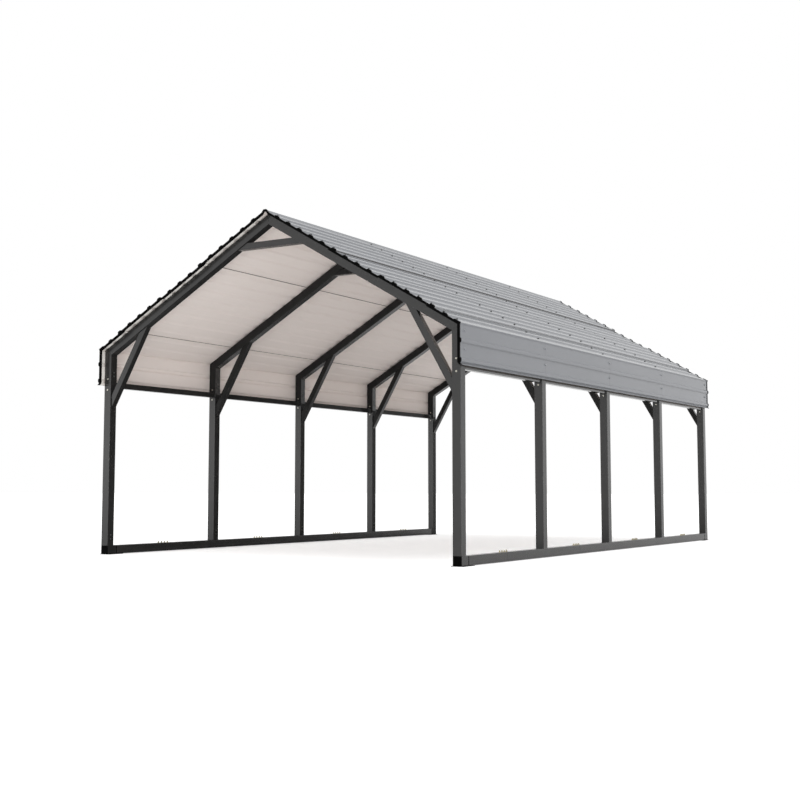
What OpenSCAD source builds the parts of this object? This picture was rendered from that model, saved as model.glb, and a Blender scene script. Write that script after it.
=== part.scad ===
// Open steel carport: five gabled portal frames of square tube on two base rails,
// tied by eave girts and covered with lengthwise ribbed sheets that turn down as a fascia.
// The front gable faces -Y, the origin is on the floor under the middle of the roof.

/* [Overall] */
// Width over the outer faces of the posts
frame_width = 3675; // [2600:5:6000]
// Spacing of the portal frames, front face to front face
frame_spacing = 1488; // [900:1:2400]
// Height of the outer corner of leg and rafter above the floor
eave_height = 1844; // [1500:1:3000]
// Slope of the roof in degrees
roof_slope = 30; // [20:1:36]

/* [Frame tubes] */
// Outside size of the square posts, rails and rafters
tube = 75; // [60:1:90]
// Outside size of the square knee braces and collar ties
brace_tube = 55; // [30:1:58]
// Outside size of the square eave girts
girt_tube = 50; // [30:1:58]
// Drop from the eave corner to the joint between post and eave leg
joint_drop = 314; // [290:1:500]
// Drop from the eave corner to the underside of the eave girts
girt_drop = 342; // [320:1:500]
// Distance of a knee brace's middle line from the inner eave corner, along post and rafter
brace_reach = 430; // [200:1:600]
// Drop from the inner ridge corner to the top of a collar tie
tie_drop = 138; // [60:1:240]

/* [Feet] */
// Length of the corner shoe that carries an end post
shoe_length = 112; // [95:1:180]
// Thickness of the cap on a shoe's outer end
cap_thickness = 6; // [2:1:12]
// Length of the spigot that shows between shoe and rail
spigot_length = 10; // [4:1:20]
// Step from the rail's faces in to the spigot
spigot_step = 6; // [3:1:12]
// Thickness of the foot plate under a corner
plate_thickness = 4; // [3:1:10]
// Length of a rail's end that lies on the foot plate
plate_seat = 66; // [15:1:150]
// Margin of the foot plate on either side of the rail
plate_margin = 16; // [5:1:40]

/* [Roof sheets] */
// Overhang of the sheets past the end frames
sheet_overhang = 40; // [10:1:200]
// Thickness of a sheet
sheet_thickness = 8; // [3:1:10]
// Height of a rib above the flat of the sheet
rib_height = 11; // [4:1:14]
// Width of a rib at its foot
rib_foot = 56; // [44:1:64]
// Width of a rib at its crown
rib_crown = 26; // [14:1:36]
// Reach of a sheet's upper edge, under the next sheet, from the middle of the rib that they share
lap_reach = 46; // [40:1:50]
// Rise of the ridge rib above the line where the two roof flats meet
ridge_rise = 7; // [3:1:14]

/* [Fascia] */
// Gap between the posts and the fascia
fascia_gap = 6; // [2:1:14]
// Reach of the corner bead from the eave corner up the roof
bead_run = 45; // [40:1:60]
// Rise of the corner bead above the flat of the roof
bead_rise = 8; // [2:1:12]
// Reach of the corner bead beyond the fascia
bead_reach = 7; // [2:1:12]
// Depth below the eave corner at which the bead ends on the fascia
bead_drop = 9; // [8:1:40]
// Width of a fascia rib at its foot
fascia_rib_foot = 44; // [30:1:50]
// Width of a fascia rib at its crown
fascia_rib_crown = 22; // [8:1:26]
// Depth of the middle fascia rib below the eave corner
middle_rib_depth = 129; // [100:1:160]
// Depth of the lower fascia rib below the eave corner
lower_rib_depth = 279; // [240:1:290]
// Depth of the lip's end below the eave corner
lip_depth = 319; // [312:1:360]
// Outward kick of the lip
lip_kick = 18; // [6:1:40]

/* [Edge trim] */
// Depth of the trim that covers the front and rear ends of the sheets
trim_depth = 16; // [4:1:30]
// Reach of the trim beyond both faces of the sheet
trim_reach = 5; // [2:1:6]

/* [Hidden] */

// The two long sides, as the sign of X
LEFT = -1;
RIGHT = 1;
SIDES = [LEFT, RIGHT];
// Portal frames along the length, and the rib intervals from ridge to eave on each slope
frame_count = 5;
rib_intervals = 16;
// Rib intervals from the ridge down to the roof sheet's upper lap, its step and its lower lap
upper_lap_count = 6;
step_count = 10;
lower_lap_count = 14;

frame_color = "#3c3d3e";
black_color = "#0c0c0c";
roof_color = "#8d929b";

half_width = frame_width / 2;
frame_length = (frame_count - 1) * frame_spacing + tube;
front_y = -frame_length / 2;
sheet_length = frame_length + 2 * sheet_overhang;

// Levels of the base: the rails lie on the foot plates and the posts stand on the rails
rail_base = plate_thickness;
rail_top = rail_base + tube;
rail_axis_x = half_width - tube / 2;
rail_end = shoe_length + spigot_length;

// Levels below the eave: the joint of post and leg, and the underside of the girts
post_joint_height = eave_height - joint_drop;
girt_height = eave_height - girt_drop;

// Ridge and eave lines of the rafters
ridge_height = eave_height + half_width * tan(roof_slope);
inner_ridge_height = ridge_height - tube / cos(roof_slope);
inner_x = half_width - tube;
inner_eave_height = inner_ridge_height - inner_x * tan(roof_slope);

// Knee brace: equal angles with post and rafter, so its mitred ends have the same length
brace_angle = (90 - roof_slope) / 2;
brace_end = brace_tube / sin(brace_angle);
brace_near = brace_reach - brace_end / 2;
brace_far = brace_reach + brace_end / 2;

// Collar tie between the undersides of the rafters
tie_top = inner_ridge_height - tie_drop;
tie_base = tie_top - brace_tube;

// Sheets: positions along the slope run from the ridge line of the rafters
slope_length = half_width / cos(roof_slope);
rib_pitch = slope_length / rib_intervals;

function frame_y(n) = front_y + (n - 1) * frame_spacing;
function reversed(points) = [for (i = [len(points) - 1 : -1 : 0]) points[i]];
function mirrored(points) = [for (p = points) [-p.x, p.y]];

// Point of the section at a distance down the slope and a height square to the rafter's top
function on_slope(run, lift) = [
    run * cos(roof_slope) + lift * sin(roof_slope),
    ridge_height - run * sin(roof_slope) + lift * cos(roof_slope)
];
// Point of the section at a distance out from the posts' outer face and a depth below the eave
function on_fascia(out, depth) = [half_width + out, eave_height - depth];

function rib_run(i) = i * rib_pitch;
// Rib from its upper foot to the lower end of its crown, the whole rib, and a run of ribs
function rib_top(i, lift, rise) = [
    on_slope(rib_run(i) - rib_foot / 2, lift),
    on_slope(rib_run(i) - rib_crown / 2, lift + rise),
    on_slope(rib_run(i) + rib_crown / 2, lift + rise)
];
function rib(i, lift, rise) = concat(rib_top(i, lift, rise), [on_slope(rib_run(i) + rib_foot / 2, lift)]);
function ribs(first, last, lift, rise) = [for (i = [first : last]) each rib(i, lift, rise)];
// Rib at a sheet's lower edge, which ends halfway down the flank
function edge_rib(i, lift, rise) = concat(
    rib_top(i, lift, rise),
    [on_slope(rib_run(i) + (rib_crown + rib_foot) / 4, lift + rise / 2)]
);
function fascia_rib(depth, out, rise) = [
    on_fascia(out, depth - fascia_rib_foot / 2),
    on_fascia(out + rise, depth - fascia_rib_crown / 2),
    on_fascia(out + rise, depth + fascia_rib_crown / 2),
    on_fascia(out, depth + fascia_rib_foot / 2)
];

// Upper edge of a sheet, before a rib, and the foot of a step up by a sheet's thickness to a rib
function edge_before(i, lift) = [on_slope(rib_run(i) - lap_reach, lift)];
function step_before(i, lift) = [on_slope(rib_run(i) - rib_foot / 2 - sheet_thickness, lift)];

// Corner bead: it rises off the roof, runs on past the fascia and turns back under to it
function corner_bead(lift, out) = [
    on_slope(slope_length - bead_run, lift),
    on_slope(slope_length - bead_run + bead_rise, lift + bead_rise),
    on_fascia(out + bead_reach, roof_depth(out + bead_reach, lift + bead_rise)),
    on_fascia(out, bead_drop)
];
// Corner without the bead, for the inside of the trim
function plain_corner(lift, out) = [on_fascia(out, roof_depth(out, lift))];
// Depth below the eave corner of a face of the roof, carried on to a distance out from the posts
function roof_depth(out, lift) = out * tan(roof_slope) - lift / cos(roof_slope);

// One face of each sheet's right half, at a height above the frame, with its ribs or flat. The ridge
// sheet lies on the roof sheets, and they step up to lie on the eave sheets.
function ridge_face(lift, rise) = let (over = lift + sheet_thickness) concat(
    [[rib_crown / 2, ridge_height + ridge_rise + over / cos(roof_slope)], on_slope(rib_foot / 2, over)],
    ribs(1, upper_lap_count - 1, over, rise),
    edge_rib(upper_lap_count, over, rise)
);
function roof_face(lift, rise) = let (over = lift + sheet_thickness) concat(
    edge_before(upper_lap_count, lift),
    ribs(upper_lap_count, step_count - 1, lift, rise),
    step_before(step_count, lift),
    ribs(step_count, lower_lap_count - 1, over, rise),
    edge_rib(lower_lap_count, over, rise)
);
function eave_face(lift, rise) = let (out = lift + fascia_gap) concat(
    edge_before(lower_lap_count, lift),
    ribs(lower_lap_count, rib_intervals - 1, lift, rise),
    rise > 0 ? corner_bead(lift, out) : plain_corner(lift, out),
    fascia_rib(middle_rib_depth, out, rise),
    fascia_rib(lower_rib_depth, out, rise),
    [on_fascia(out + lip_kick, lip_depth)]
);

// Box from its low corner to its high corner
module block(low, high) {
    translate(low) cube(high - low);
}

// Section in X and Z, drawn out along Y from a start
module drawn_out(start, length) {
    translate([0, start + length, 0]) rotate([90, 0, 0]) linear_extrude(height = length) children();
}

// Section of one side, drawn for the right and mirrored for the left
module on_side(side) {
    mirror([side == LEFT ? 1 : 0, 0, 0]) children();
}

// Piece at a front corner, repeated at all four corners
module at_corners() {
    for (side = SIDES, turn = [0, 1]) on_side(side) mirror([0, turn, 0]) children();
}

module base_rail(side) {
    color(frame_color) on_side(side) {
        block([inner_x, front_y + rail_end, rail_base], [half_width, -front_y - rail_end, rail_top]);
        block(
            [inner_x + spigot_step, front_y + shoe_length, rail_base + spigot_step],
            [half_width - spigot_step, -front_y - shoe_length, rail_top - spigot_step]
        );
    }
}

module corner_shoes() {
    color(frame_color) at_corners()
        block([inner_x, front_y + cap_thickness, rail_base], [half_width, front_y + shoe_length, rail_top]);
}

module end_caps() {
    color(black_color) at_corners()
        block([inner_x, front_y, rail_base], [half_width, front_y + cap_thickness, rail_top]);
}

module foot_plates() {
    color(black_color) at_corners()
        block(
            [inner_x - plate_margin, front_y, 0],
            [half_width + plate_margin, front_y + rail_end + plate_seat, plate_thickness]
        );
}

module post(side, n) {
    color(frame_color) on_side(side)
        block([inner_x, frame_y(n), rail_top], [half_width, frame_y(n) + tube, post_joint_height]);
}

module eave_legs(side) {
    color(frame_color) on_side(side) for (n = [1 : frame_count])
        drawn_out(frame_y(n), tube) polygon([
            [half_width, post_joint_height],
            [half_width, eave_height],
            [inner_x, inner_eave_height],
            [inner_x, post_joint_height]
        ]);
}

module rafter(side, n) {
    color(frame_color) on_side(side) drawn_out(frame_y(n), tube) polygon([
        [half_width, eave_height],
        [0, ridge_height],
        [0, inner_ridge_height],
        [inner_x, inner_eave_height]
    ]);
}

module knee_braces(n) {
    color(frame_color) for (side = SIDES) on_side(side)
        drawn_out(frame_y(n) + (tube - brace_tube) / 2, brace_tube) polygon([
            [inner_x, inner_eave_height - brace_far],
            [inner_x, inner_eave_height - brace_near],
            [inner_x - brace_near * cos(roof_slope), inner_eave_height + brace_near * sin(roof_slope)],
            [inner_x - brace_far * cos(roof_slope), inner_eave_height + brace_far * sin(roof_slope)]
        ]);
}

// Half the clear width between the rafters' undersides at a height
function tie_reach(height) = (inner_ridge_height - height) / tan(roof_slope);

module collar_tie(n) {
    color(frame_color) drawn_out(frame_y(n) + (tube - brace_tube) / 2, brace_tube) polygon([
        [-tie_reach(tie_base), tie_base],
        [tie_reach(tie_base), tie_base],
        [tie_reach(tie_top), tie_top],
        [-tie_reach(tie_top), tie_top]
    ]);
}

module eave_girts(side) {
    color(frame_color) on_side(side) for (n = [1 : frame_count - 1])
        block(
            [rail_axis_x - girt_tube / 2, frame_y(n) + tube, girt_height],
            [rail_axis_x + girt_tube / 2, frame_y(n + 1), girt_height + girt_tube]
        );
}

// Outlines between an upper face, which has ribs, and a lower one, which has ribs or is flat
function ridge_outline(low, high, low_rise) = concat(
    reversed(mirrored(ridge_face(high, rib_height))), ridge_face(high, rib_height),
    reversed(ridge_face(low, low_rise)), mirrored(ridge_face(low, low_rise))
);
function roof_outline(low, high, low_rise) =
    concat(roof_face(high, rib_height), reversed(roof_face(low, low_rise)));
function eave_outline(low, high, low_rise) =
    concat(eave_face(high, rib_height), reversed(eave_face(low, low_rise)));

// Sheet along the whole roof, from its outline on the right or over the ridge
module sheet(outline) {
    color(roof_color) drawn_out(-sheet_length / 2, sheet_length) polygon(outline);
}

module ridge_sheet() {
    sheet(ridge_outline(0, sheet_thickness, rib_height));
}

module roof_sheet(side) {
    on_side(side) sheet(roof_outline(0, sheet_thickness, rib_height));
}

module eave_sheet(side) {
    on_side(side) sheet(eave_outline(0, sheet_thickness, rib_height));
}

// Trim over the ends of all sheets, which closes their ribs, one strip at the front and one at the rear
module edge_trims() {
    low = -trim_reach;
    high = sheet_thickness + trim_reach;
    halves = [roof_outline(low, high, 0), eave_outline(low, high, 0)];
    color(black_color) for (turn = [0, 1]) mirror([0, turn, 0])
        drawn_out(-sheet_length / 2 - trim_depth, trim_depth) {
            polygon(ridge_outline(low, high, 0));
            for (half = halves) polygon(half);
            for (half = halves) polygon(mirrored(half));
        }
}

base_rail(LEFT);  // left_base_rail
base_rail(RIGHT);  // right_base_rail
corner_shoes();
end_caps();
foot_plates();
post(LEFT, 1);  // left_post_1
post(LEFT, 2);  // left_post_2
post(LEFT, 3);  // left_post_3
post(LEFT, 4);  // left_post_4
post(LEFT, 5);  // left_post_5
post(RIGHT, 1);  // right_post_1
post(RIGHT, 2);  // right_post_2
post(RIGHT, 3);  // right_post_3
post(RIGHT, 4);  // right_post_4
post(RIGHT, 5);  // right_post_5
eave_legs(LEFT);  // left_eave_legs
eave_legs(RIGHT);  // right_eave_legs
rafter(LEFT, 1);  // left_rafter_1
rafter(LEFT, 2);  // left_rafter_2
rafter(LEFT, 3);  // left_rafter_3
rafter(LEFT, 4);  // left_rafter_4
rafter(LEFT, 5);  // left_rafter_5
rafter(RIGHT, 1);  // right_rafter_1
rafter(RIGHT, 2);  // right_rafter_2
rafter(RIGHT, 3);  // right_rafter_3
rafter(RIGHT, 4);  // right_rafter_4
rafter(RIGHT, 5);  // right_rafter_5
knee_braces(1);  // knee_braces_1
knee_braces(2);  // knee_braces_2
knee_braces(3);  // knee_braces_3
knee_braces(4);  // knee_braces_4
knee_braces(5);  // knee_braces_5
collar_tie(1);  // collar_tie_1
collar_tie(2);  // collar_tie_2
collar_tie(3);  // collar_tie_3
collar_tie(4);  // collar_tie_4
collar_tie(5);  // collar_tie_5
eave_girts(LEFT);  // left_eave_girts
eave_girts(RIGHT);  // right_eave_girts
ridge_sheet();
roof_sheet(LEFT);  // left_roof_sheet
roof_sheet(RIGHT);  // right_roof_sheet
eave_sheet(LEFT);  // left_eave_sheet
eave_sheet(RIGHT);  // right_eave_sheet
edge_trims();
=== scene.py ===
import math

import bmesh
import bpy
from mathutils import Matrix, Vector


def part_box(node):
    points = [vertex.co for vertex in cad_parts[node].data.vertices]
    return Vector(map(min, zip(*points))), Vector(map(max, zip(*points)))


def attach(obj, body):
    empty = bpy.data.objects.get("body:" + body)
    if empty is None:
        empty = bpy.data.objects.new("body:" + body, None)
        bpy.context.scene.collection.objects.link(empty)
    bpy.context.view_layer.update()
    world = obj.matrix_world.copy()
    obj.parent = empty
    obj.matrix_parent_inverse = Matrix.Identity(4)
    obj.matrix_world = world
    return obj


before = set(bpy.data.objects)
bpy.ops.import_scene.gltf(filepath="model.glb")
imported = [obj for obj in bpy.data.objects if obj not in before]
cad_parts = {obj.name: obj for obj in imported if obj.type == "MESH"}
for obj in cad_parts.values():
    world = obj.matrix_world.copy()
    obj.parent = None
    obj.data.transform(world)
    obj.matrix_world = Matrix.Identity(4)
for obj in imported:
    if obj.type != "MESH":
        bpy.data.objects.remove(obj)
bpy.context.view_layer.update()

# The photograph's camera: place, turn, and focal length and optical axis in pixels of its frame
FRAME_PX = 800
FOCAL_PX = 1274.54
AXIS_PX = 371.75
CAMERA_AT = (6.4159, -11.5609, 0.5788)
CAMERA_YAW = 0.5395
CAMERA_PITCH = 0.0923
SENSOR_MM = 36

# The roof's slope, the frames and sides, and sizes read from the CAD frame
SLOPE = math.radians(30)
FRAMES = range(1, 6)
SIDES = {"left": -1, "right": 1}
half_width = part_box("right_post_1")[1].x
ridge_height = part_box("right_rafter_1")[1].z
rail_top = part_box("right_post_1")[0].z
slope_length = half_width / math.cos(SLOPE)
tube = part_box("right_post_1")[1].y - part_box("right_post_1")[0].y
post_front = {n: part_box(f"right_post_{n}")[0].y for n in FRAMES}
post_middle = {n: post_front[n] + tube / 2 for n in FRAMES}
post_axis_x = half_width - tube / 2

# Sheets: thickness, fascia's face from the posts, rib intervals on a slope, those where a sheet lies low
SHEET = 0.008
FASCIA_OUT = 0.014
RIB_INTERVALS = 16
LOW_INTERVALS = (6, 7, 8, 9, 14, 15)

# Fasteners: screws of the fascia, bolts through post and leg, screws in the inner faces, studs of a splice
FASCIA_SCREW_HEIGHTS = (1.795, 1.653)
BOLT_HEIGHTS = (1.482, 1.581)
LEG_SCREW_HEIGHTS = (1.608, 1.640)
FOOT_SCREW_HEIGHTS = (0.137, 0.173)
SPLICE_PITCH = 0.042
SPLICE_ROWS = 4
# Depth by which fasteners sink into what they sit on, and a dark joint spreads over its edges
SINK = 0.0004
# Corners of their outlines
HEXAGON = 6
THREAD = 12
WASHER = 16
BOLT_WASHER = 20


def grey(value):
    return (value, value, value, 1.0)


# Tubes: range of the paint's colour, shine and roughness, and a lower shine towards the inside that is
# painted shade
TUBE_PAINT = (0.018, 0.0178, 0.0174, 1), (0.023, 0.0227, 0.0222, 1)
TUBE_SHINE = 0.54
TUBE_ROUGH = 0.2, 0.23
# The girts' greater shine than the other tubes' is a painted sheen
GIRT_PAINTED_SHEEN = 1.0
GIRT_ROUGH = 0.1, 0.13
PAINTED_SHADE_SHINE = 0.06
# How far a face turns inwards, or to the front, before it counts as such
INWARD = -0.3
FRONTWARD = -0.5
# Dark joints across a rail: a splice's seam, and the neck between the rail and a corner shoe
SEAM = 0.002
SPIGOT = 0.010
JOINT_COLOUR = grey(0.001)
JOINT_SHINE = 0.03
ROOF_FRAME = ("left_rafter", "right_rafter", "knee_braces", "collar_tie")

# Sheets: paint outside, backing inside, and the backing painted brighter at the gables' overhang as
# painted light
COAT = (0.190, 0.198, 0.214, 1), (0.218, 0.226, 0.244, 1)
COAT_STREAK = (0.168, 0.174, 0.187, 1)
COAT_ROUGH = 0.2, 0.26
COAT_SHINE = 0.5
BACKING = (0.83, 0.757, 0.716, 1), (0.88, 0.805, 0.764, 1)
BACKING_STREAK = (0.66, 0.592, 0.55, 1)
BACKING_ROUGH = 0.5
BACKING_SHINE = 0.15
OVERHANG_PAINTED_LIGHT = (0.93, 0.90, 0.85, 1)
# A face is outside or inside past this tilt, and a cut edge between. The fascia begins just inside the
# posts' outer face.
FACE_TILT = 0.2
FASCIA_MARGIN = 0.0005
# End laps across the sheets: width, strength and colour of the line
END_LAP = 0.0022
END_LAP_SHADE = 0.55
END_LAP_COLOUR = grey(0.03)
# Cut edges: the fascia's; the high lap's, darker than the paint as painted shade; and the low lap's,
# lighter than the paint as painted light, one tone where it faces up the slope and a lighter one where it
# faces down
LOW_LAP_FROM = 0.6
FASCIA_EDGE = grey(0.06)
HIGH_LAP_PAINTED_SHADE = (0.11, 0.10, 0.09, 1)
LOW_LAP_UP_PAINTED_LIGHT = (0.29, 0.26, 0.24, 1)
LOW_LAP_DOWN_PAINTED_LIGHT = grey(0.42)
# Share by which the ceiling's ribs are shaded as if flat
CEILING_FLAT = 0.5

# Studio: floor, darker under the roof in mirrored light as painted shade, and what it adds for the camera
FLOOR_REACH = 150
FLOOR_COLOUR = grey(0.82)
FLOOR_PAINTED_SHADE = grey(0.18)
FLOOR_GLOW = 0.42
# Surround: level, a dark sector, and next to it one that is lighter in mirrored light, both up to a height
AMBIENT = 0.8
FLAG = math.radians(36), math.radians(75)
CARD = math.radians(8), math.radians(31)
CARD_GAIN = 0.22
CARD_TOP = 0.3
SOFT = 0.06
LAMPS = {
    "key": dict(kind="SUN", energy=1.1, place=(3, -2, 9), target=(0, 0, 0), angle=math.radians(40)),
    "fill": dict(kind="AREA", energy=30, place=(-8.5, -10.5, 1.2), target=(0, -1.0, 1.7),
                 shape="RECTANGLE", size=6.0, size_y=2.4),
    "front": dict(kind="AREA", energy=380, place=(4.5, -13.0, 1.0), target=(-1.5, -1.0, 1.9),
                  shape="RECTANGLE", size=5.0, size_y=1.8),
}


class Graph:
    """A node material, or the world's, with short ways to add and link nodes."""

    def __init__(self, owner):
        owner.use_nodes = True
        self.owner = owner
        self.tree = owner.node_tree
        self.shader = self.tree.nodes.get("Principled BSDF")

    def put(self, socket, value):
        if isinstance(value, bpy.types.NodeSocket):
            self.tree.links.new(value, socket)
        else:
            socket.default_value = value

    def add(self, kind, inputs, **settings):
        node = self.tree.nodes.new(kind)
        for name, value in settings.items():
            setattr(node, name, value)
        for name, value in inputs.items():
            self.put(node.inputs[name], value)
        return node

    def math(self, operation, a, b=0.0):
        return self.add("ShaderNodeMath", {0: a, 1: b}, operation=operation).outputs[0]

    def times(self, a, b):
        return self.math("MULTIPLY", a, b)

    def size(self, value):
        return self.math("ABSOLUTE", value)

    def over(self, value, limit):
        return self.math("GREATER_THAN", value, limit)

    def below(self, value, limit):
        return self.math("LESS_THAN", value, limit)

    def invert(self, value):
        return self.math("SUBTRACT", 1.0, value)

    def mix(self, factor, a, b):
        """Blend of two colours."""
        return self.add("ShaderNodeMix", {0: factor, 6: a, 7: b}, data_type="RGBA").outputs[2]

    def choose(self, factor, a, b):
        """Blend of two numbers."""
        return self.add("ShaderNodeMix", {0: factor, 2: a, 3: b}, data_type="FLOAT").outputs[0]

    def lean(self, factor, a, b):
        """Blend of two directions."""
        return self.add("ShaderNodeMix", {0: factor, 4: a, 5: b}, data_type="VECTOR").outputs[1]

    def ramp(self, value, low, high):
        inputs = {"Value": value, "To Min": low, "To Max": high}
        return self.add("ShaderNodeMapRange", inputs).outputs[0]

    def past(self, value, limit, soft):
        """0 below a limit and 1 above it, with a soft edge."""
        inputs = {"Value": value, "From Min": limit - soft, "From Max": limit + soft}
        return self.add("ShaderNodeMapRange", inputs, interpolation_type="SMOOTHSTEP").outputs[0]

    def sector(self, value, start, end, soft):
        return self.math("SUBTRACT", self.past(value, start, soft), self.past(value, end, soft))

    def near(self, value, middle, reach):
        return self.below(self.size(self.math("SUBTRACT", value, middle)), reach)

    def any_near(self, value, marks):
        found = None
        for middle, reach in marks:
            here = self.near(value, middle, reach)
            found = here if found is None else self.math("MAXIMUM", found, here)
        return found

    def noise(self, where, scale, detail=2.0):
        inputs = {"Vector": where, "Scale": scale, "Detail": detail}
        return self.add("ShaderNodeTexNoise", inputs).outputs[0]

    def coordinates(self, kind):
        return self.add("ShaderNodeTexCoord", {}).outputs[kind]

    def place(self):
        return self.coordinates("Object")

    def normal(self):
        return self.coordinates("Normal")

    def parts(self, vector):
        return self.add("ShaderNodeSeparateXYZ", {0: vector}).outputs

    def rounded(self, radius):
        return self.add("ShaderNodeBevel", {"Radius": radius}, samples=6).outputs[0]

    def bump(self, height, strength, distance, **normal):
        inputs = {"Height": height, "Strength": strength, "Distance": distance, **normal}
        return self.add("ShaderNodeBump", inputs).outputs[0]

    def camera_ray(self):
        return self.add("ShaderNodeLightPath", {}).outputs["Is Camera Ray"]

    def glint(self):
        return self.add("ShaderNodeLightPath", {}).outputs["Is Glossy Ray"]

    def finish(self, **inputs):
        for name, value in inputs.items():
            self.put(self.shader.inputs[name.replace("_", " ")], value)
        return self.owner


def painted_tube(name, shine, roughness, painted_shade_shine=None, behind=None, marks=()):
    """Satin powder coat on square tube: rounded edges, a fine orange peel, and dark joints across it.

    Faces towards the inside can get less shine, as painted shade. Behind a place along the part, front
    faces get it instead.
    """
    g = Graph(bpy.data.materials.new(name))
    where = g.place()
    x, y = g.parts(where)[:2]
    base = g.mix(g.noise(where, scale=3.0, detail=4.0), *TUBE_PAINT)
    # Painted shade: less shine on faces towards the inside, or on front faces behind a place along the
    # part
    if painted_shade_shine is not None:
        nx, ny = g.parts(g.normal())[:2]
        painted_shade = g.below(g.times(g.math("SIGN", x), nx), INWARD)
        if behind is not None:
            painted_shade = g.choose(g.over(y, behind), painted_shade, g.below(ny, FRONTWARD))
        shine = g.choose(painted_shade, shine, painted_shade_shine)
    if marks:
        mark = g.any_near(y, marks)
        base = g.mix(mark, base, JOINT_COLOUR)
        shine = g.choose(mark, shine, JOINT_SHINE)
    peel = g.noise(where, scale=900.0)
    bump = g.bump(peel, strength=0.01, distance=0.0004, Normal=g.rounded(0.004))
    rough = g.ramp(g.noise(where, scale=40.0, detail=3.0), *roughness)
    return g.finish(Base_Color=base, Roughness=rough, Normal=bump, Specular_IOR_Level=shine)


def moulded_cap(name):
    """Black caps, trims and plates, with a fine grain."""
    g = Graph(bpy.data.materials.new(name))
    where = g.place()
    base = g.mix(g.noise(where, scale=60.0), grey(0.001), grey(0.0025))
    grain = g.noise(where, scale=1500.0)
    bump = g.bump(grain, strength=0.05, distance=0.0004, Normal=g.rounded(0.001))
    rough = g.ramp(g.noise(where, scale=200.0), 0.26, 0.32)
    return g.finish(Base_Color=base, Roughness=rough, Normal=bump, Specular_IOR_Level=0.02)


def coated_sheet(name):
    """Profiled sheet: grey paint outside, off-white backing inside with painted light at the overhang, cut
    edges with painted shade and light at the laps, and faint end laps.
    """
    g = Graph(bpy.data.materials.new(name))
    where = g.place()
    x, y = g.parts(where)[:2]
    nx, _, nz = g.parts(g.normal())
    side, from_ridge = g.math("SIGN", x), g.size(x)

    # Which way a face looks: off the slope, down the slope, or off the fascia
    out = g.times(side, nx)
    up = g.math("ADD", g.times(out, math.sin(SLOPE)), g.times(nz, math.cos(SLOPE)))
    down = g.math("SUBTRACT", g.times(out, math.cos(SLOPE)), g.times(nz, math.sin(SLOPE)))
    on_fascia = g.over(from_ridge, half_width - FASCIA_MARGIN)
    outward = g.choose(on_fascia, up, out)
    outside = g.over(outward, FACE_TILT)
    inside = g.below(outward, -FACE_TILT)

    drift = g.noise(where, scale=1.3, detail=4.0)
    stretched = g.add("ShaderNodeMapping", {"Vector": where, "Scale": (9.0, 0.35, 9.0)}).outputs[0]
    streak = g.noise(stretched, scale=4.0, detail=3.0)
    paint = g.mix(drift, *COAT)
    paint = g.mix(g.ramp(streak, 0.0, 0.25), paint, COAT_STREAK)
    lap = g.any_near(y, [(post_middle[n], END_LAP / 2) for n in FRAMES][1:-1])
    paint = g.mix(g.times(lap, END_LAP_SHADE), paint, END_LAP_COLOUR)

    backing = g.mix(drift, *BACKING)
    backing = g.mix(g.ramp(streak, 0.0, 0.12), backing, BACKING_STREAK)
    # Painted light: the backing is brighter at the gables' overhang
    overhang = g.times(g.over(g.size(y), -post_front[1]), g.over(from_ridge, tube))
    backing = g.mix(overhang, backing, OVERHANG_PAINTED_LIGHT)

    # Painted shade on the high lap's cut edges, painted light on the low lap's, lightest where they face
    # down the slope
    low_lap = g.over(from_ridge, half_width * LOW_LAP_FROM)
    low_lap_lit_edge = g.mix(g.over(down, 0.0), LOW_LAP_UP_PAINTED_LIGHT, LOW_LAP_DOWN_PAINTED_LIGHT)
    cut = g.mix(on_fascia, g.mix(low_lap, HIGH_LAP_PAINTED_SHADE, low_lap_lit_edge), FASCIA_EDGE)
    colour = g.mix(inside, g.mix(outside, cut, paint), backing)

    flat_x = g.times(side, -math.sin(SLOPE))
    flat = g.add("ShaderNodeCombineXYZ", {0: flat_x, 2: -math.cos(SLOPE)}).outputs[0]
    ceiling = g.times(inside, g.invert(on_fascia))
    surface = g.lean(g.times(ceiling, CEILING_FLAT), g.rounded(0.003), flat)
    grain = g.noise(where, scale=700.0)
    bump = g.bump(grain, strength=0.08, distance=0.0004, Normal=surface)
    coat_rough = g.ramp(g.noise(where, scale=25.0, detail=3.0), *COAT_ROUGH)
    rough = g.choose(inside, coat_rough, BACKING_ROUGH)
    shine = g.choose(inside, COAT_SHINE, BACKING_SHINE)
    return g.finish(Base_Color=colour, Roughness=rough, Normal=bump, Specular_IOR_Level=shine)


def metal(name, dark, light, roughness, bare=1.0):
    """Zinc of the fasteners, or paint on it where it isn't bare."""
    g = Graph(bpy.data.materials.new(name))
    where = g.place()
    base = g.mix(g.noise(where, scale=160.0, detail=3.0), dark, light)
    bump = g.bump(g.noise(where, scale=2500.0), strength=0.15, distance=0.0002)
    rough = g.ramp(g.noise(where, scale=300.0), *roughness)
    return g.finish(Base_Color=base, Metallic=bare, Roughness=rough, Normal=bump)


def stack(bm, matrix, sides, rings):
    """Rings of points, each a radius and a height, stacked along an axis and closed at both ends."""
    levels = []
    for radius, height in rings:
        turn = [2 * math.pi * i / sides for i in range(sides)]
        points = [Vector((radius * math.cos(a), radius * math.sin(a), height)) for a in turn]
        levels.append([bm.verts.new(matrix @ p) for p in points])
    for low, high in zip(levels, levels[1:]):
        for i in range(sides):
            j = (i + 1) % sides
            bm.faces.new((low[i], low[j], high[j], high[i]))
    bm.faces.new(reversed(levels[0]))
    bm.faces.new(levels[-1])


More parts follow.
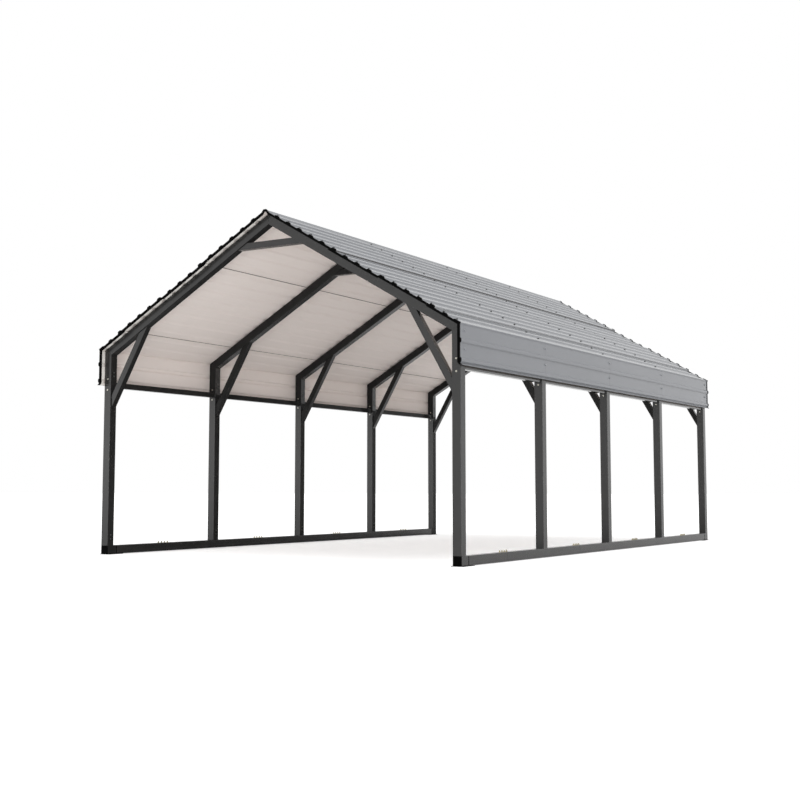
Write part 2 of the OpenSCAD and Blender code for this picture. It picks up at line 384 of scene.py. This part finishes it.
def roofing_screw(bm, matrix):
    """Hexagon head with a flange on a sealing washer."""
    stack(bm, matrix, WASHER, [(0.0095, -SINK), (0.0098, 0.0022), (0.0085, 0.0036)])
    stack(bm, matrix, WASHER, [(0.0078, 0.0034), (0.0074, 0.0048), (0.0058, 0.0054)])
    stack(bm, matrix, HEXAGON, [(0.0058, 0.0052), (0.0058, 0.0112), (0.0048, 0.0122)])


def small_screw(bm, matrix):
    """Hexagon head with a flange."""
    stack(bm, matrix, WASHER, [(0.0080, -SINK), (0.0078, 0.0012), (0.0062, 0.0018)])
    stack(bm, matrix, HEXAGON, [(0.0056, 0.0016), (0.0056, 0.0056), (0.0047, 0.0064)])


def bolt_head(bm, matrix):
    """Hexagon head on a flat washer."""
    stack(bm, matrix, BOLT_WASHER, [(0.0078, -SINK), (0.0078, 0.0012), (0.0074, 0.0016)])
    stack(bm, matrix, HEXAGON, [(0.0068, 0.0014), (0.0068, 0.0056), (0.0058, 0.0066)])


def bolt_nut(bm, matrix):
    """Nut of the same form, with the bolt's end."""
    bolt_head(bm, matrix)
    stack(bm, matrix, THREAD, [(0.0040, 0.0064), (0.0040, 0.0100), (0.0033, 0.0108)])


def splice_stud(bm, matrix):
    """Washer and nut on a stud's end."""
    stack(bm, matrix, WASHER, [(0.0088, -SINK), (0.0088, 0.0014), (0.0084, 0.0018)])
    stack(bm, matrix, HEXAGON, [(0.0070, 0.0016), (0.0070, 0.0076), (0.0062, 0.0084)])
    stack(bm, matrix, THREAD, [(0.0044, 0.0082), (0.0044, 0.0160), (0.0036, 0.0172)])


def facing(point, direction):
    """Matrix that stands a fastener on a point with its axis along a direction."""
    turn = Vector(direction).to_track_quat("Z", "Y").to_matrix().to_4x4()
    return Matrix.Translation(point) @ turn


def show(name, data):
    """Object in the scene with a mesh, a lamp's or the camera's data."""
    obj = bpy.data.objects.new(name, data)
    bpy.context.scene.collection.objects.link(obj)
    return obj


def piece(name, material, fasteners):
    """One mesh of fasteners, each given by its maker, place and axis."""
    bm = bmesh.new()
    for make, point, direction in fasteners:
        make(bm, facing(Vector(point), direction))
    mesh = bpy.data.meshes.new(name)
    bm.to_mesh(mesh)
    bm.free()
    mesh.materials.append(material)
    obj = show(name, mesh)
    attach(obj, "root")


def on_slope(side, run, lift, y):
    """Point at a distance down a slope from the ridge and a height above the rafters."""
    out = run * math.cos(SLOPE) + lift * math.sin(SLOPE)
    return (side * out, y, ridge_height - run * math.sin(SLOPE) + lift * math.cos(SLOPE))


def sheet_top(interval):
    return SHEET if interval in LOW_INTERVALS else 2 * SHEET


splices = [(post_front[n] + post_front[n + 1] + tube) / 2 for n in FRAMES if n + 1 in FRAMES]
spigots = [side * (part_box("right_base_rail")[1].y - SPIGOT / 2) for side in SIDES.values()]
joints = [(y, SEAM / 2) for y in splices] + [(y, SPIGOT / 2 + SINK) for y in spigots]
frame_paint = painted_tube("frame_paint", TUBE_SHINE, TUBE_ROUGH, PAINTED_SHADE_SHINE)
roof_frame_paint = painted_tube("roof_frame_paint", TUBE_SHINE, TUBE_ROUGH, PAINTED_SHADE_SHINE,
                                behind=post_front[1] + tube)
rail_paint = painted_tube("rail_paint", TUBE_SHINE, TUBE_ROUGH, marks=joints)
girt_paint = painted_tube("girt_paint", GIRT_PAINTED_SHEEN, GIRT_ROUGH, PAINTED_SHADE_SHINE)
cap_plastic = moulded_cap("cap_plastic")
roof_coat = coated_sheet("roof_coat")
zinc = metal("zinc", (0.50, 0.48, 0.42, 1), (0.66, 0.64, 0.58, 1), (0.25, 0.4))
dull_zinc = metal("dull_zinc", grey(0.10), grey(0.16), (0.4, 0.55))
dark_zinc = metal("dark_zinc", grey(0.05), grey(0.08), (0.45, 0.6))
# Fascia screws: grey paint, lighter than the roof's as painted light against the heads' own shade
painted_light_grey_zinc = metal("painted_light_grey_zinc", (0.24, 0.248, 0.264, 1), (0.28, 0.289, 0.307, 1), (0.45, 0.6), bare=0.0)
yellow_zinc = metal("yellow_zinc", (0.36, 0.32, 0.21, 1), (0.48, 0.44, 0.30, 1), (0.35, 0.5))

for name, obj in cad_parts.items():
    if name.endswith("_sheet"):
        look = roof_coat
    elif name in ("end_caps", "edge_trims", "foot_plates"):
        look = cap_plastic
    elif name.endswith("_base_rail"):
        look = rail_paint
    elif name.endswith("_eave_girts"):
        look = girt_paint
    elif name.endswith("_eave_legs") or name.rsplit("_", 1)[0] in ROOF_FRAME:
        look = roof_frame_paint
    else:
        look = frame_paint
    obj.data.materials.clear()
    obj.data.materials.append(look)

pitch = slope_length / RIB_INTERVALS
rows = [(i - (SPLICE_ROWS - 1) / 2) * SPLICE_PITCH for i in range(SPLICE_ROWS)]
for label, side in SIDES.items():
    up = (side * math.sin(SLOPE), 0, math.cos(SLOPE))
    roof = [(roofing_screw, on_slope(side, (i + 0.5) * pitch, sheet_top(i), post_middle[n]), up)
            for n in FRAMES for i in range(RIB_INTERVALS)]
    piece(f"{label}_roof_screws", dark_zinc, roof)
    fascia_x = side * (half_width + FASCIA_OUT)
    fascia = [(roofing_screw, (fascia_x, post_middle[n], z), (side, 0, 0))
              for n in FRAMES for z in FASCIA_SCREW_HEIGHTS]
    piece(f"{label}_fascia_screws", painted_light_grey_zinc, fascia)
    axis_x = side * post_axis_x
    heads = [(bolt_head, (axis_x, post_front[n], z), (0, -1, 0)) for n in FRAMES for z in BOLT_HEIGHTS]
    nuts = [(bolt_nut, (axis_x, post_front[n] + tube, z), (0, 1, 0))
            for n in FRAMES for z in BOLT_HEIGHTS]
    piece(f"{label}_frame_bolts", zinc, heads + nuts)
    inner_x = side * (half_width - tube)
    screws = [(small_screw, (inner_x, post_middle[n], z), (-side, 0, 0))
              for n in FRAMES for z in LEG_SCREW_HEIGHTS + FOOT_SCREW_HEIGHTS]
    piece(f"{label}_post_screws", dull_zinc, screws)
    studs = [(splice_stud, (axis_x, y + row, rail_top), (0, 0, 1)) for y in splices for row in rows]
    piece(f"{label}_splice_screws", yellow_zinc, studs)

# Studio: a pale floor that keeps the shadow, with painted shade under the roof in mirrored light, a white
# surround, and soft light
floor_mesh = bpy.data.meshes.new("floor")
corners = [(sx * FLOOR_REACH, sy * FLOOR_REACH, 0) for sx, sy in ((-1, -1), (1, -1), (1, 1), (-1, 1))]
floor_mesh.from_pydata(corners, [], [(0, 1, 2, 3)])
floor = show("floor", floor_mesh)
g = Graph(bpy.data.materials.new("floor"))
x, y = g.parts(g.place())[:2]
# Painted shade: in mirrored light the floor under the roof is darker
under_roof = g.times(g.near(x, 0.0, half_width), g.near(y, 0.0, -post_front[1]))
shade = g.mix(g.times(under_roof, g.glint()), FLOOR_COLOUR, FLOOR_PAINTED_SHADE)
matt = g.add("ShaderNodeBsdfDiffuse", {"Color": shade}).outputs[0]
level = g.times(g.camera_ray(), FLOOR_GLOW)
glow = g.add("ShaderNodeEmission", {"Color": grey(1.0), "Strength": level}).outputs[0]
both = g.add("ShaderNodeAddShader", {0: matt, 1: glow}).outputs[0]
g.put(g.tree.nodes["Material Output"].inputs["Surface"], both)
floor_mesh.materials.append(g.owner)

world = bpy.data.worlds.new("studio")
bpy.context.scene.world = world
g = Graph(world)
x, y, z = g.parts(g.coordinates("Generated"))
turn = g.math("ARCTAN2", x, y)
low = g.invert(g.past(z, CARD_TOP, SOFT))
flag, card = (g.times(low, g.sector(turn, *reach, SOFT)) for reach in (FLAG, CARD))
mirrored = g.math("ADD", g.times(card, CARD_GAIN), 1.0 - AMBIENT)
wall = g.math("ADD", g.times(g.glint(), mirrored), AMBIENT)
wall = g.times(wall, g.invert(flag))
back = g.tree.nodes["Background"]
g.put(back.inputs["Color"], grey(1.0))
g.put(back.inputs["Strength"], g.math("MAXIMUM", wall, g.camera_ray()))


def lamp(name, kind, energy, place, target, **settings):
    data = bpy.data.lights.new(name, kind)
    data.energy = energy
    for key, value in settings.items():
        setattr(data, key, value)
    obj = show(name, data)
    obj.location = place
    obj.rotation_euler = (Vector(target) - Vector(place)).to_track_quat("-Z", "Y").to_euler()


for name, settings in LAMPS.items():
    lamp(name, **settings)

camera = bpy.data.cameras.new("camera")
camera.sensor_fit = "HORIZONTAL"
camera.sensor_width = SENSOR_MM
camera.lens = SENSOR_MM * FOCAL_PX / FRAME_PX
camera.shift_y = (AXIS_PX - FRAME_PX / 2) / FRAME_PX
camera_obj = show("camera", camera)
camera_obj.location = CAMERA_AT
camera_obj.rotation_euler = (math.pi / 2 + CAMERA_PITCH, 0, CAMERA_YAW)
bpy.context.scene.camera = camera_obj
bpy.context.scene.view_settings.view_transform = "Standard"
